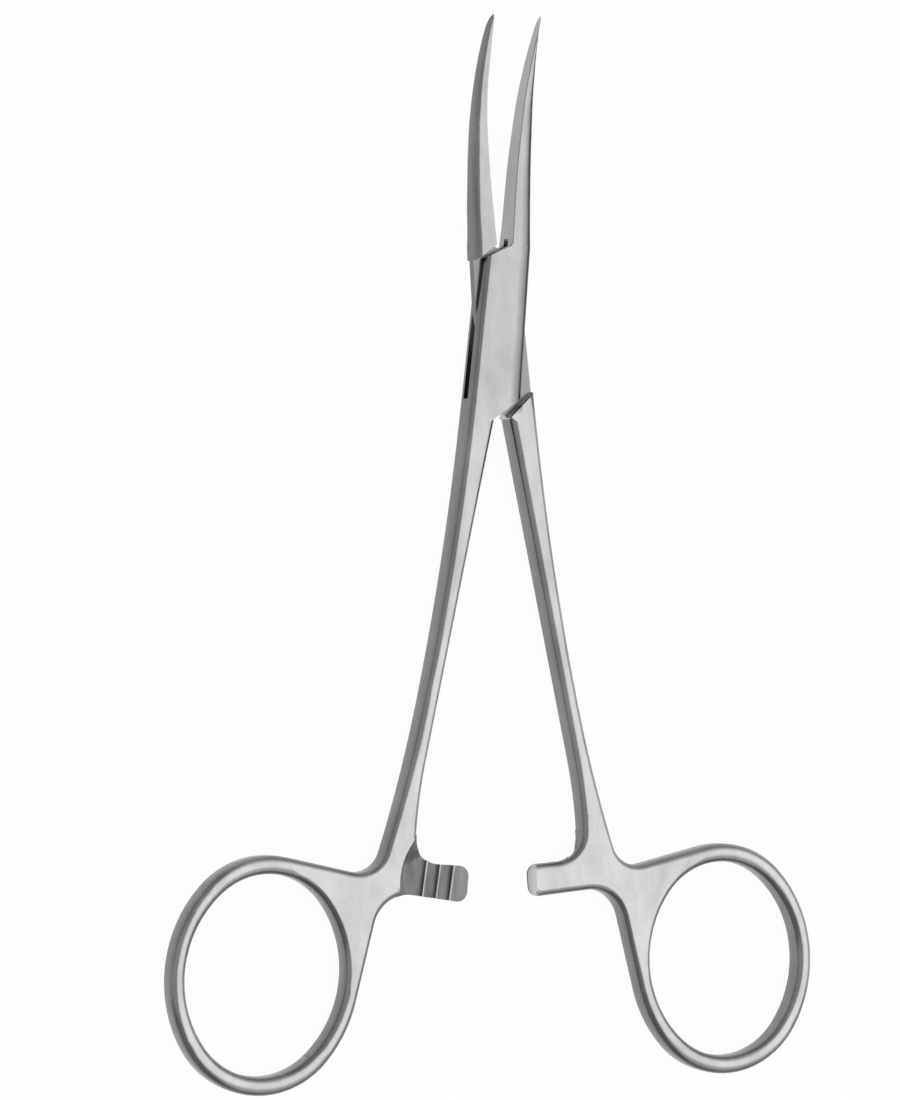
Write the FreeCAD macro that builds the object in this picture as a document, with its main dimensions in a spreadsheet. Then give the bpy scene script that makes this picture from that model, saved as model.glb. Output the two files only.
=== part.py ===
"""Curved hemostat forceps with a box lock, finger rings and a ratchet, in millimetres.

The instrument lies flat: +Y runs from the rings to the jaw tips, +Z is up, the pivot is the Z axis and
the underside of the box is at Z = 0. The box half carries the slotted box, the tenon half passes through
the slot, and a riveted pin joins them. Each half is drawn closed, with the tips together, in its own
body, whose mid-plane is the local XY plane, and is then turned by half of the opening.
"""
import FreeCAD, Part
import math
import os
import Sketcher

SIZES = {
    # how far each half is turned from the closed position, in degrees
    "half_opening": 4.67,
    # box lock
    "box_thickness": 3.6,
    "box_flank_top": 2.9,
    "box_flank_bottom": 3.4,
    "box_far_flank_bottom": 3.0,
    "upper_end": 9.53,
    "upper_end_angle": 30.5,
    "lower_end": 10.24,
    "lower_end_angle": 39.7,
    "shank_start": 8.5,
    "crotch_offset": 0.1,
    "tenon_thickness": 1.1,
    "tenon_clearance": 0.05,
    "shoulder_clearance": 0.12,
    "slot_end_relief": 0.8,
    "pin_radius": 1.0,
    "pin_clearance": 0.03,
    # shank and its edges
    "edge_round": 0.9,
    "ring_thickness": 2.97,
    "level_above_ring": 18.75,
    "shank_middle_share": 0.685,
    "shank_bow": 1.24,
    "shank_inner_angle": 7.35,
    "shank_inner_bow": 56.0,
    # finger ring: an oval of four arcs round a hole of four arcs
    "ring_across": 22.99,
    "ring_along": 75.75,
    "ring_tilt": 1.85,
    "hole_half_length": 11.48,
    "hole_half_width": 9.69,
    "hole_end_radius": 8.53,
    "band_ends": 2.07,
    "band_sides": 1.88,
    # web between shank, ring and ratchet arm
    "outer_web_radius": 3.2,
    "outer_web_across": 12.75,
    "web_above_ring": 15.4,
    "inner_web_radius": 4.2,
    "inner_web_across": 5.96,
    # ratchet arm
    "arm_above_ring": 13.7,
    "arm_width": 3.67,
    "arm_reach": 1.48,
    "box_arm_lean": 4.5,
    "tenon_arm_lean": 0.6,
    "arm_corner": 1.2,
    "arm_root_radius": 3.4,
    "arm_root_across": 2.34,
    # ratchet teeth
    "ratchet_level": 0.3,
    "ratchet_clearance": 0.05,
    "ratchet_recess": 7.6,
    "tip_land": 2.08,
    "tooth_pitch": 1.715,
    "tooth_depth": 0.4,
    "tooth_slant": 3.5,
    "tooth_count": 3,
    # jaws
    "jaw_clearance": 0.05,
    "jaw_root": 9.8,
    "jaw_root_width": 2.75,
    "jaw_bend": 17.0,
    "jaw_radius": 38.0,
    "serration_pitch": 0.5,
    "serration_depth": 0.06,
    "serration_land": 0.1,
    "serration_start": 11.0,
    "serration_end_angle": 28.2,
}

# jaw sections past the root: degrees along the upward curve, then width, thickness and edge rounding
JAW_STATIONS = {
    "bend": (0.0, 2.33, 2.88, 0.85),
    "middle": (12.0, 1.66, 2.25, 0.72),
    "front": (20.0, 1.12, 1.75, 0.5),
    "nose": (26.0, 0.64, 1.3, 0.3),
    "tip": (29.3, 0.24, 0.9, 0.1),
}

BEYOND_RING = "(@ring_along + @hole_half_length + 2 * @band_ends)"
ARM_TOP = "(@ring_along - @arm_above_ring)"
ARM_MIDDLE = f"({ARM_TOP} + @arm_width / 2)"
WEB_ALONG = "(@ring_along - @web_above_ring)"

# where the outline's tangent joins start, in degrees and millimetres, before its constraints settle them
OVAL_JOIN = 53.0
WEB_LEAN = 8.4
WEB_TURN = 14.0
INNER_LEAN = 9.6
UPPER_BOW = 0.47
LOWER_BOW = 0.25

# a face counts as level above this part of its normal, and a point lies on a line within this gap
LEVEL_NORMAL = 0.99
ON_LINE = 0.01

# the rims are rounded by flats that touch one arc: each bevel turns half as far as the one before,
# and the edges of the first bevel turn between these angles in degrees
FIRST_BEVEL = "(2 - sqrt(2))"
SECOND_BEVEL = "(tan(22.5) - tan(11.25))"
BEVEL_TURN = (35.0, 55.0)

doc = FreeCAD.newDocument("hemostat_forceps")


def make_sheet():
    """Puts every driving dimension in a named cell."""
    sheet = doc.addObject("Spreadsheet::Sheet", "Sizes")
    values = dict(SIZES)
    for station, (angle, width, thickness, rounding) in JAW_STATIONS.items():
        values[f"jaw_{station}_angle"] = angle
        values[f"jaw_{station}_width"] = width
        values[f"jaw_{station}_thickness"] = thickness
        values[f"jaw_{station}_round"] = rounding
    for row, (name, value) in enumerate(values.items(), start=1):
        sheet.set(f"A{row}", name.replace("_", " "))
        sheet.set(f"B{row}", str(value))
        sheet.setAlias(f"B{row}", name)
    doc.recompute()
    return sheet


def sized(text):
    """Turns @name into a reference to the sheet cell of that name."""
    return text.replace("@", "Sizes.")


def value_of(text):
    """The present value of an expression in sheet names."""
    found = sheet.evalExpression(sized(text))
    return float(getattr(found, "Value", found))


def bind(thing, **expressions):
    for name, text in expressions.items():
        thing.setExpression(name, sized(text))


def origin_plane(body, role):
    return next(f for f in body.Origin.OriginFeatures if f.Role == role)


def new_sketch(body, name, role, offset=None):
    """A sketch on one of the body's own origin planes, moved by a placement expression if given."""
    sketch = body.newObject("Sketcher::SketchObject", name)
    sketch.AttachmentSupport = [(origin_plane(body, role), "")]
    sketch.MapMode = "FlatFace"
    if offset:
        sketch.setExpression("AttachmentOffset", sized(offset))
    return sketch


def constrain(sketch, kind, *where, size=None):
    """Adds a constraint, bound to an expression where it has a size."""
    if size is None:
        sketch.addConstraint(Sketcher.Constraint(kind, *where))
        return
    value = value_of(size)
    if kind == "Angle":
        value = math.radians(value)
    index = sketch.addConstraint(Sketcher.Constraint(kind, *where, value))
    sketch.setExpression(f"Constraints[{index}]", sized(size))


def pin_point(sketch, edge, end, across, along):
    """Holds a point (end 1 or 2 of an edge, or 3 for its centre) at two expressions."""
    constrain(sketch, "DistanceX", -1, 1, edge, end, size=across)
    constrain(sketch, "DistanceY", -1, 1, edge, end, size=along)


def vector(across, along):
    return FreeCAD.Vector(across, along, 0)


def line_edge(sketch, start, end):
    return sketch.addGeometry(Part.LineSegment(vector(*start), vector(*end)))


def arc_edge(sketch, centre, radius, first, last):
    """An arc counter-clockwise from the first to the last angle, in degrees."""
    circle = Part.Circle(vector(*centre), FreeCAD.Vector(0, 0, 1), radius)
    return sketch.addGeometry(Part.ArcOfCircle(circle, math.radians(first), math.radians(last)))


def around(centre, radius, angle):
    """The point of a circle at an angle in degrees."""
    turn = math.radians(angle)
    return centre[0] + radius * math.cos(turn), centre[1] + radius * math.sin(turn)


def bowed_edge(sketch, first, last, bow):
    """An arc between two points that stands off their chord by the bow."""
    middle = ((first[0] + last[0]) / 2 + bow, (first[1] + last[1]) / 2)
    return sketch.addGeometry(Part.Arc(vector(*first), vector(*middle), vector(*last)))


def polygon(sketch, corners):
    """A closed outline of straight edges with each corner held at two expressions."""
    points = [(value_of(across), value_of(along)) for across, along in corners]
    edges = [line_edge(sketch, p, q) for p, q in zip(points, points[1:] + points[:1])]
    for edge, after in zip(edges, edges[1:] + edges[:1]):
        constrain(sketch, "Coincident", edge, 2, after, 1)
    for edge, (across, along) in zip(edges, corners):
        pin_point(sketch, edge, 1, across, along)
    return edges


def check_sketch(sketch):
    doc.recompute()
    if sketch.solve() != 0 or not sketch.FullyConstrained:
        raise RuntimeError(f"{sketch.Label} isn't fully constrained")


def oval_centre(along_axis, across_axis):
    """Expressions for a point of the ring's own axes: the long axis leans towards the other ring."""
    across = f"-@ring_across + ({along_axis}) * sin(@ring_tilt) + ({across_axis}) * cos(@ring_tilt)"
    along = f"-@ring_along + ({along_axis}) * cos(@ring_tilt) - ({across_axis}) * sin(@ring_tilt)"
    return across, along


def side_radius(half_length, half_width, end_radius):
    """The radius of an oval's side arcs, which are tangent to its end arcs."""
    return (
        f"(({half_length} - {end_radius})^2 + ({half_width})^2 - ({end_radius})^2)"
        f" / (2 * ({half_width} - {end_radius}))"
    )


def at_values(point):
    return value_of(point[0]), value_of(point[1])


def ring_hole(sketch):
    """The finger hole: two end arcs and two side arcs, each tangent to the next."""
    half_length, half_width, end = "@hole_half_length", "@hole_half_width", "@hole_end_radius"
    side = side_radius(half_length, half_width, end)
    shift = f"{half_length} - {end}"
    top = oval_centre(shift, "0")
    bottom = oval_centre(f"-({shift})", "0")
    left_arc = at_values(oval_centre("0", f"{side} - {half_width}"))
    right_arc = at_values(oval_centre("0", f"{half_width} - {side}"))
    arcs = [
        arc_edge(sketch, at_values(top), value_of(end), 90 - OVAL_JOIN, 90 + OVAL_JOIN),
        arc_edge(sketch, left_arc, value_of(side), 90 + OVAL_JOIN, 270 - OVAL_JOIN),
        arc_edge(sketch, at_values(bottom), value_of(end), 270 - OVAL_JOIN, 270 + OVAL_JOIN),
        arc_edge(sketch, right_arc, value_of(side), OVAL_JOIN - 90, 90 - OVAL_JOIN),
    ]
    for arc, after in zip(arcs, arcs[1:] + arcs[:1]):
        constrain(sketch, "Tangent", arc, 2, after, 1)
    for arc, centre in ((arcs[0], top), (arcs[2], bottom)):
        pin_point(sketch, arc, 3, *centre)
        constrain(sketch, "Radius", arc, size=end)
    for arc in (arcs[1], arcs[3]):
        constrain(sketch, "Radius", arc, size=side)


# corners of the blank's outline, in the closed position
CHEEK_TIP = ("-@box_flank_top", "@upper_end - @box_flank_top * tan(@upper_end_angle)")
SHANK_TOP = ("-@box_flank_bottom", "-@shank_start")
WEB_SIDE = "(@outer_web_across - @outer_web_radius - @box_flank_bottom)"
SHANK_MIDDLE = (
    f"@shank_bow - @box_flank_bottom - @shank_middle_share * {WEB_SIDE}",
    f"-@shank_start - @shank_middle_share * ({WEB_ALONG} - @shank_start)",
)
CROTCH = ("-@crotch_offset", "-@lower_end - @crotch_offset * tan(@lower_end_angle)")
CHEEK_HEEL = (
    "@box_far_flank_bottom",
    "-@lower_end + @box_far_flank_bottom * tan(@lower_end_angle)",
)
JAW_OUTER = ("@jaw_clearance + @jaw_root_width", "@jaw_root")
JAW_INNER = ("@jaw_clearance", "@jaw_root")
CHEEK_INNER = ("@jaw_clearance", "@upper_end + @jaw_clearance * tan(@upper_end_angle)")


def blank_outline(body, arm_lean):
    """The outline of one half in plan: box, shank, web, ratchet arm and finger ring, as forged."""
    sketch = new_sketch(body, "BlankOutline", "XY_Plane")
    half_length = "(@hole_half_length + @band_ends)"
    half_width = "(@hole_half_width + @band_sides)"
    end_radius = "(@hole_end_radius + @band_ends)"
    side = side_radius(half_length, half_width, end_radius)
    shift = f"{half_length} - {end_radius}"
    ring_top = oval_centre(shift, "0")
    ring_bottom = oval_centre(f"-({shift})", "0")
    ring_right = oval_centre("0", f"{half_width} - {side}")
    ring_left = at_values(oval_centre("0", f"{side} - {half_width}"))
    outer_web = ("-@outer_web_across", f"-{WEB_ALONG}")
    arm_bottom = f"-{ARM_TOP} - @arm_width"
    arm_end = value_of("@arm_reach")
    corner = value_of("@arm_corner")
    top = value_of(f"-{ARM_TOP}")
    bottom = value_of(arm_bottom)
    web = value_of("@outer_web_radius")
    inner_web = value_of("@inner_web_radius")
    root = value_of("@arm_root_radius")
    inner_web_at = (value_of("-@inner_web_across"), bottom - inner_web)
    arm_turn = value_of(arm_lean)
    drop = (arm_end - corner - inner_web_at[0]) * math.tan(math.radians(arm_turn))
    lower_corner_at = (arm_end - corner, bottom - drop + corner)
    root_at = (value_of("-@arm_root_across"), top + root)
    web_at = at_values(outer_web)
    crotch = at_values(CROTCH)
    bow = value_of("@shank_inner_bow")

    box_side = line_edge(sketch, at_values(CHEEK_TIP), at_values(SHANK_TOP))
    shank_top, shank_middle = at_values(SHANK_TOP), at_values(SHANK_MIDDLE)
    web_start = around(web_at, web, -WEB_TURN)
    upper_outer = bowed_edge(sketch, shank_top, shank_middle, UPPER_BOW)
    lower_outer = bowed_edge(sketch, shank_middle, web_start, LOWER_BOW)
    web_arc = arc_edge(sketch, web_at, web, -90 - WEB_LEAN, -WEB_TURN)
    ring_at = at_values(ring_top)
    ring_end = value_of(end_radius)
    web_line = line_edge(
        sketch,
        around(web_at, web, -90 - WEB_LEAN),
        around(ring_at, ring_end, 90 - WEB_LEAN),
    )
    ring_side = value_of(side)
    top_arc = arc_edge(sketch, ring_at, ring_end, 90 - WEB_LEAN, 90 + OVAL_JOIN)
    left_arc = arc_edge(sketch, ring_left, ring_side, 90 + OVAL_JOIN, 270 - OVAL_JOIN)
    bottom_arc = arc_edge(
        sketch, at_values(ring_bottom), ring_end, 270 - OVAL_JOIN, 270 + OVAL_JOIN
    )
    right_at = at_values(ring_right)
    right_arc = arc_edge(sketch, right_at, ring_side, OVAL_JOIN - 90, -INNER_LEAN)
    ring_line = line_edge(
        sketch,
        around(right_at, ring_side, -INNER_LEAN),
        around(inner_web_at, inner_web, 180 - INNER_LEAN),
    )
    inner_arc = arc_edge(sketch, inner_web_at, inner_web, 90 - arm_turn, 180 - INNER_LEAN)
    lower_arm = line_edge(
        sketch,
        around(inner_web_at, inner_web, 90 - arm_turn),
        around(lower_corner_at, corner, -90 - arm_turn),
    )
    lower_corner = arc_edge(sketch, lower_corner_at, corner, -90 - arm_turn, 0)
    arm_tip = line_edge(sketch, (arm_end, lower_corner_at[1]), (arm_end, top - corner))
    upper_corner = arc_edge(sketch, (arm_end - corner, top - corner), corner, 0, 90)
    upper_arm = line_edge(sketch, (arm_end - corner, top), (root_at[0], top))
    root_arc = arc_edge(sketch, root_at, root, 180, 270)
    bow_at = (root_at[0] - root + bow, root_at[1])
    lean = value_of("@shank_inner_angle")
    bow_arc = arc_edge(sketch, bow_at, bow, 180 - lean, 180)
    bow_end = around(bow_at, bow, 180 - lean)
    shank_inner = line_edge(sketch, bow_end, crotch)
    lower_end = line_edge(sketch, crotch, at_values(CHEEK_HEEL))
    far_side = line_edge(sketch, at_values(CHEEK_HEEL), at_values(JAW_OUTER))
    jaw_root = line_edge(sketch, at_values(JAW_OUTER), at_values(JAW_INNER))
    jaw_face = line_edge(sketch, at_values(JAW_INNER), at_values(CHEEK_INNER))
    upper_end = line_edge(sketch, at_values(CHEEK_INNER), at_values(CHEEK_TIP))

    for first, first_end, second, second_end in (
        (box_side, 2, upper_outer, 2),
        (upper_outer, 1, lower_outer, 2),
        (lower_outer, 1, web_arc, 2),
        (web_arc, 1, web_line, 1),
        (web_line, 2, top_arc, 1),
        (top_arc, 2, left_arc, 1),
        (left_arc, 2, bottom_arc, 1),
        (bottom_arc, 2, right_arc, 1),
        (right_arc, 2, ring_line, 1),
        (ring_line, 2, inner_arc, 2),
        (inner_arc, 1, lower_arm, 1),
        (lower_arm, 2, lower_corner, 1),
        (lower_corner, 2, arm_tip, 1),
        (arm_tip, 2, upper_corner, 1),
        (upper_corner, 2, upper_arm, 1),
        (upper_arm, 2, root_arc, 2),
        (root_arc, 1, bow_arc, 2),
        (bow_arc, 1, shank_inner, 1),
    ):
        constrain(sketch, "Tangent", first, first_end, second, second_end)
    straight = [shank_inner, lower_end, far_side, jaw_root, jaw_face, upper_end, box_side]
    for edge, after in zip(straight, straight[1:]):
        constrain(sketch, "Coincident", edge, 2, after, 1)

    for edge, corner_at in (
        (box_side, CHEEK_TIP),
        (lower_end, CROTCH),
        (far_side, CHEEK_HEEL),
        (jaw_root, JAW_OUTER),
        (jaw_face, JAW_INNER),
        (upper_end, CHEEK_INNER),
    ):
        pin_point(sketch, edge, 1, *corner_at)
    pin_point(sketch, box_side, 2, *SHANK_TOP)
    pin_point(sketch, upper_outer, 1, *SHANK_MIDDLE)
    pin_point(sketch, web_arc, 3, *outer_web)
    pin_point(sketch, top_arc, 3, *ring_top)
    pin_point(sketch, bottom_arc, 3, *ring_bottom)
    pin_point(sketch, right_arc, 3, *ring_right)
    constrain(sketch, "Angle", lower_arm, size=f"-{arm_lean}")
    constrain(sketch, "Vertical", arm_tip)
    constrain(sketch, "Horizontal", upper_arm)
    constrain(sketch, "DistanceY", -1, 1, lower_arm, 1, size=arm_bottom)
    constrain(sketch, "DistanceX", -1, 1, arm_tip, 1, size="@arm_reach")
    constrain(sketch, "DistanceY", -1, 1, upper_arm, 1, size=f"-{ARM_TOP}")
    constrain(sketch, "DistanceX", -1, 1, inner_arc, 3, size="-@inner_web_across")
    constrain(sketch, "DistanceX", -1, 1, root_arc, 3, size="-@arm_root_across")
    constrain(sketch, "Angle", -2, 2, shank_inner, 2, size="-@shank_inner_angle")
    for arc, size in (
        (web_arc, "@outer_web_radius"),
        (top_arc, end_radius),
        (bottom_arc, end_radius),
        (left_arc, side),
        (inner_arc, "@inner_web_radius"),
        (lower_corner, "@arm_corner"),
        (upper_corner, "@arm_corner"),
        (root_arc, "@arm_root_radius"),
        (bow_arc, "@shank_inner_bow"),
    ):
        constrain(sketch, "Radius", arc, size=size)
    ring_hole(sketch)
    check_sketch(sketch)
    return sketch


def pad(body, sketch, name, length):
    """Extrudes a sketch evenly to both sides of the mid-plane."""
    feature = body.newObject("PartDesign::Pad", name)
    feature.Profile = (sketch, "")
    feature.SideType = "Symmetric"
    bind(feature, Length=length)
    doc.recompute()
    return feature


def pocket(body, sketch, name, length, side="Symmetric", upwards=False):
    """Cuts a sketch out of the body and checks that the cut took something away."""
    before = body.Shape.Volume
    feature = body.newObject("PartDesign::Pocket", name)
    feature.Profile = (sketch, "")
    feature.SideType = side
    feature.Reversed = upwards
    feature.Refine = False
    bind(feature, Length=length)
    doc.recompute()
    if not feature.Shape.Volume < before:
        raise RuntimeError(f"{name} cuts nothing")
    return feature


def taper(body):
    """Thins the shank evenly from the box to the web, on its top and under it, and levels the ring."""
    for name, sign in (("TopTaper", "1"), ("UnderTaper", "-1")):
        sketch = new_sketch(body, name + "Profile", "YZ_Plane")
        corners = [
            ("-@shank_start", f"{sign} * @box_thickness / 2"),
            ("-@shank_start", f"{sign} * @box_thickness"),
            (f"-{BEYOND_RING}", f"{sign} * @box_thickness"),
            (f"-{BEYOND_RING}", f"{sign} * @ring_thickness / 2"),
            ("@level_above_ring - @ring_along", f"{sign} * @ring_thickness / 2"),
        ]
        polygon(sketch, corners)
        check_sketch(sketch)
        pocket(body, sketch, name, "4 * @ring_along")


def is_level(face):
    return isinstance(face.Surface, Part.Plane) and abs(face.normalAt(0, 0).z) > LEVEL_NORMAL


def rim_edges(shape, sharp):
    """Names of the edges between a level face and a wall, apart from those over the sharp lines."""
    names = []
    for index, edge in enumerate(shape.Edges, start=1):
        faces = shape.ancestorsOfType(edge, Part.Face)
        if sum(is_level(face) for face in faces) != 1:
            continue
        middle = edge.valueAt((edge.FirstParameter + edge.LastParameter) / 2)
        plan = Part.Vertex(middle.x, middle.y, 0)
        if min(plan.distToShape(wire)[0] for wire in sharp) > ON_LINE:
            names.append(f"Edge{index}")
    return names


def bevel_edges(shape):
    """Names of the edges on both sides of the first bevel."""
    names = []
    for index, edge in enumerate(shape.Edges, start=1):
        middle = edge.valueAt((edge.FirstParameter + edge.LastParameter) / 2)
        normals = [
            face.normalAt(*face.Surface.parameter(middle))
            for face in shape.ancestorsOfType(edge, Part.Face)
        ]
        turn = math.degrees(normals[0].getAngle(normals[-1]))
        if BEVEL_TURN[0] < turn < BEVEL_TURN[1]:
            names.append(f"Edge{index}")
    return names


def round_rims(body):
    """Rounds every rim of the blank, apart from the ends of the cheeks and the root of the jaw."""
    sharp = [
        Part.makePolygon([vector(*at_values(corner)) for corner in corners])
        for corners in ((CROTCH, CHEEK_HEEL), (JAW_OUTER, JAW_INNER, CHEEK_INNER, CHEEK_TIP))
    ]
    blank = body.Tip
    names = rim_edges(blank.Shape, sharp)
    feature = body.newObject("PartDesign::Chamfer", "RimBevel")
    feature.Base = (blank, names)
    bind(feature, Size=f"@edge_round * {FIRST_BEVEL}")
    doc.recompute()
    finer = body.newObject("PartDesign::Chamfer", "RimRound")
    finer.Base = (feature, bevel_edges(feature.Shape))
    bind(finer, Size=f"@edge_round * {SECOND_BEVEL}")
    doc.recompute()


def on_curve(station):
    """The placement of a section plane on the upward curve of the jaw."""
    angle = f"@jaw_{station}_angle"
    lift = f"@jaw_radius * (1 - cos({angle}))"
    reach = f"@jaw_bend + @jaw_radius * sin({angle})"
    return f"placement(vector(0; {lift}; -({reach})); rotation(vector(1; 0; 0); {angle}))"


def jaw_section(body, name, place, across, thickness, rounding):
    """A D-shaped section: flat towards the other jaw, rounded along its outer edges."""
    sketch = new_sketch(body, name, "XZ_Plane", place)
    half = value_of(f"{thickness} / 2")
    radius = value_of(rounding)
    face = value_of("@jaw_clearance")
    side = face + value_of(across)
    turn = side - radius
    under = line_edge(sketch, (face, -half), (turn, -half))
    lower = arc_edge(sketch, (turn, radius - half), radius, -90, 0)
    flank = line_edge(sketch, (side, radius - half), (side, half - radius))
    upper = arc_edge(sketch, (turn, half - radius), radius, 0, 90)
    top = line_edge(sketch, (turn, half), (face, half))
    inner = line_edge(sketch, (face, half), (face, -half))
    for edge, after in ((under, lower), (lower, flank), (flank, upper), (upper, top)):
        constrain(sketch, "Tangent", edge, 2, after, 1)
    constrain(sketch, "Coincident", top, 2, inner, 1)
    constrain(sketch, "Coincident", inner, 2, under, 1)
    pin_point(sketch, inner, 1, "@jaw_clearance", f"{thickness} / 2")
    pin_point(sketch, inner, 2, "@jaw_clearance", f"-{thickness} / 2")
    constrain(sketch, "Horizontal", top)
    constrain(sketch, "Horizontal", under)
    constrain(sketch, "Vertical", flank)
    constrain(sketch, "DistanceX", -1, 1, flank, 1, size=f"@jaw_clearance + {across}")
    constrain(sketch, "Radius", lower, size=rounding)
    constrain(sketch, "Radius", upper, size=rounding)
    check_sketch(sketch)
    return sketch


def jaw(body):
    """The jaw: a tapering loft along the curve that lifts the tips."""
    upright = "placement(vector(0; 0; -@jaw_root); rotation(vector(1; 0; 0); 0))"
    root = jaw_section(
        body, "JawRoot", upright, "@jaw_root_width", "@box_thickness", "@edge_round"
    )
    sections = [
        jaw_section(
            body,
            f"Jaw{station.title()}",
            on_curve(station),
            f"@jaw_{station}_width",
            f"@jaw_{station}_thickness",
            f"@jaw_{station}_round",
        )
        for station in JAW_STATIONS
    ]
    feature = body.newObject("PartDesign::AdditiveLoft", "Jaw")
    feature.Profile = (root, "")
    feature.Sections = [(section, "") for section in sections]
    feature.Refine = False
    doc.recompute()
    return feature


def serrations(body):
    """Cross grooves along the whole jaw face, in a row on the root and in an arc on the curve."""
    sketch = new_sketch(body, "SerrationProfile", "XY_Plane")
    half = "(@serration_pitch - @serration_land) / 2"
    face = "@jaw_clearance"
    polygon(
        sketch,
        [
            ("-@serration_depth", f"@jaw_bend - {half}"),
            (face, f"@jaw_bend - {half}"),
            (f"{face} + @serration_depth", "@jaw_bend"),
            (face, f"@jaw_bend + {half}"),
            ("-@serration_depth", f"@jaw_bend + {half}"),
        ],
    )
    check_sketch(sketch)
    groove = pocket(body, sketch, "Serration", "2 * @box_thickness")

    straight = body.newObject("PartDesign::LinearPattern", "RootSerrations")
    straight.Originals = [groove]
    straight.Direction = (sketch, ["V_Axis"])
    straight.Reversed = True
    straight.Refine = False
    gaps = "floor((@jaw_bend - @serration_start) / @serration_pitch)"
    bind(straight, Occurrences=f"{gaps} + 1", Length=f"{gaps} * @serration_pitch")
    body.Tip = straight
    doc.recompute()

    centre = "placement(vector(@jaw_bend; @jaw_radius; 0); rotation(vector(0; 0; 1); 0))"
    axis = new_sketch(body, "JawCentre", "YZ_Plane", centre)
    curved = body.newObject("PartDesign::PolarPattern", "CurvedSerrations")
    curved.Originals = [groove]
    curved.Axis = (axis, ["N_Axis"])
    curved.Refine = False
    step = "@serration_pitch / @jaw_radius * 180 / pi"
    turns = f"floor(@serration_end_angle / ({step}))"
    bind(curved, Occurrences=f"{turns} + 1", Angle=f"{turns} * {step}")
    body.Tip = curved
    doc.recompute()
    return curved


def across_box(body, name, relief, offset=None):
    """A sketch of the strip that the other half's slant ends bound, longer by a relief at each end."""
    sketch = new_sketch(body, name, "XY_Plane", offset)
    reach = "2 * @box_flank_bottom"
    upper = f"@upper_end + {relief} / cos(@upper_end_angle)"
    lower = f"-@lower_end - {relief} / cos(@lower_end_angle)"
    upper_rise = f"{reach} * tan(@upper_end_angle)"
    lower_rise = f"{reach} * tan(@lower_end_angle)"
    corners = [
        (f"-{reach}", f"{upper} + {upper_rise}"),
        (f"-{reach}", f"{lower} + {lower_rise}"),
        (reach, f"{lower} - {lower_rise}"),
        (reach, f"{upper} - {upper_rise}"),
    ]
    polygon(sketch, corners)
    check_sketch(sketch)
    return sketch


def cut_slot(body):
    """The slot through the box, with room for the tenon's corners at both ends."""
    sketch = across_box(body, "SlotPlan", "@slot_end_relief")
    pocket(body, sketch, "Slot", "@tenon_thickness + 2 * @tenon_clearance")


def cut_tenon(body):
    """Takes the cheeks' room from both faces, down to the thin tenon between two shoulders."""
    raised = "placement(vector(0; 0; @tenon_thickness / 2); rotation(vector(0; 0; 1); 0))"
    sketch = across_box(body, "TenonPlan", "@shoulder_clearance", raised)
    cut = pocket(body, sketch, "TenonTop", "@box_thickness", "One side", upwards=True)
    under = body.newObject("PartDesign::Mirrored", "TenonUnder")
    under.Originals = [cut]
    under.MirrorPlane = (origin_plane(body, "XY_Plane"), [""])
    under.Refine = False
    body.Tip = under
    doc.recompute()


def bore(body, radius):
    """The pin's hole through the box or the tenon."""
    sketch = new_sketch(body, "BorePlan", "XY_Plane")
    circle = Part.Circle(vector(0, 0), FreeCAD.Vector(0, 0, 1), value_of(radius))
    edge = sketch.addGeometry(circle)
    constrain(sketch, "Coincident", edge, 3, -1, 1)
    constrain(sketch, "Radius", edge, size=radius)
    check_sketch(sketch)
    pocket(body, sketch, "Bore", "2 * @box_thickness")


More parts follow.
